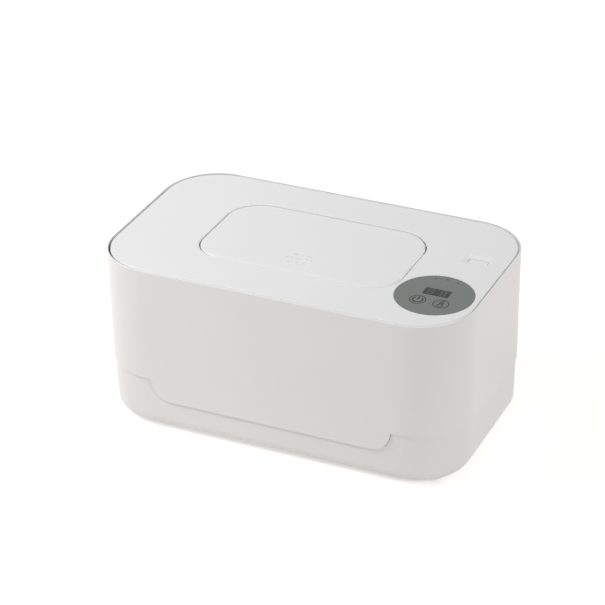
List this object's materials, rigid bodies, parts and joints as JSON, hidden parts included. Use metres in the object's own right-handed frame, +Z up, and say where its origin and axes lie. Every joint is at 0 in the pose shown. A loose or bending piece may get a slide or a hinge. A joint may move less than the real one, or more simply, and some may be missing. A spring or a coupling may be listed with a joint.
{
  "type": "baby wipe warmer",
  "caption": "Rounded box that keeps wipes warm, with an inset hinged lid, a pop-up dispensing flap, a round control panel and a heated tub.",
  "frame": {"origin": "on the table, under the middle of the body", "axes": "+X to the right along the long side, +Y to the back, +Z up"},
  "size_m": [0.24, 0.141, 0.112],
  "materials": {
    "shell_white": "satin",
    "base_white": "satin",
    "tub_white": "satin",
    "liner_white": "satin",
    "panel_grey": "satin",
    "display_black": "gloss",
    "module_grey": "satin",
    "lamp_clear": "gloss",
    "silicone_grey": "matte",
    "silicone_white": "matte",
    "rubber_grey": "matte",
    "steel": "satin",
    "spring_steel": "polished",
    "aluminium": "satin",
    "film_orange": "satin",
    "pad_foam": "matte",
    "board_green": "satin",
    "parts_black": "satin",
    "fuse_white": "matte",
    "sensor_blue": "gloss",
    "wire_red": "satin",
    "wire_white": "satin",
    "wire_black": "satin",
    "latch_acetal": "satin",
    "latch_black": "satin"
  },
  "bodies": {
    "housing": {"base_housing": "base_white", "upper_shell": "shell_white", "wipe_tub": "tub_white", "tub_screws": "steel", "housing_screws": "steel", "rubber_feet": "rubber_grey", "heat_spreader": "aluminium", "heating_film": "film_orange", "insulation_pad": "pad_foam", "thermal_fuse": "fuse_white", "temperature_sensor": "sensor_blue", "heater_leads": "wire_red", "sensor_lead": "wire_white", "power_board": "board_green", "power_board_parts": "parts_black", "power_board_screws": "steel", "dc_jack": "parts_black", "jack_leads": "wire_black", "body_harness": "wire_black", "hinge_brackets": "steel", "bracket_screws": "steel", "latch_strike": "steel", "strike_screws": "steel"},
    "lid": {"lid_cover": "shell_white", "lid_liner": "liner_white", "lid_gasket": "silicone_grey", "lid_screws": "steel", "lid_hinge_pins": "steel", "lid_harness": "wire_black", "dispenser_plate": "liner_white", "port_screws": "steel", "port_membrane": "silicone_white", "flap_hinge_pins": "steel", "touch_latch_body": "latch_black", "touch_latch_spring": "spring_steel", "control_panel": "panel_grey", "display_window": "display_black", "display_module": "module_grey", "indicator_lamps": "lamp_clear", "touch_springs": "spring_steel", "control_board": "board_green", "control_board_parts": "parts_black", "control_board_screws": "steel", "bolt_spring": "spring_steel"},
    "release_button": {"release_button": "shell_white"},
    "latch_bolt": {"latch_bolt": "latch_acetal"},
    "touch_latch_plunger": {"touch_latch_plunger": "latch_acetal"},
    "flap": {"flap": "shell_white", "flap_seal": "silicone_grey"}
  },
  "joints": [
    {"name": "lid_hinge", "type": "hinge", "parent": "housing", "child": "lid", "pos_m": [-0.1029, 0, 0.1101], "axis": [0, -1, 0], "range_deg": [0, 70]},
    {"name": "flap_hinge", "type": "hinge", "parent": "lid", "child": "flap", "pos_m": [-0.00065, 0.0275, 0.111], "axis": [-1, 0, 0], "range_deg": [0, 100]},
    {"name": "release_button_press", "type": "slide", "parent": "lid", "child": "release_button", "axis": [0, 0, -1], "range_m": [0, 0.0022], "stiffness_N_per_m": 120, "springref_m": -0.004},
    {"name": "latch_bolt_slide", "type": "slide", "parent": "lid", "child": "latch_bolt", "axis": [-1, 0, 0], "range_m": [0, 0.0022], "stiffness_N_per_m": 150, "springref_m": -0.004, "deforming": ["bolt_spring"]},
    {"name": "touch_latch_press", "type": "slide", "parent": "lid", "child": "touch_latch_plunger", "axis": [0, 0, 1], "range_m": [-0.0012, 0], "stiffness_N_per_m": 200, "springref_m": 0.003, "deforming": ["touch_latch_spring"]}
  ],
  "couplings": [
    {"joint": "latch_bolt_slide", "follows": "release_button_press", "ratio": 1}
  ]
}
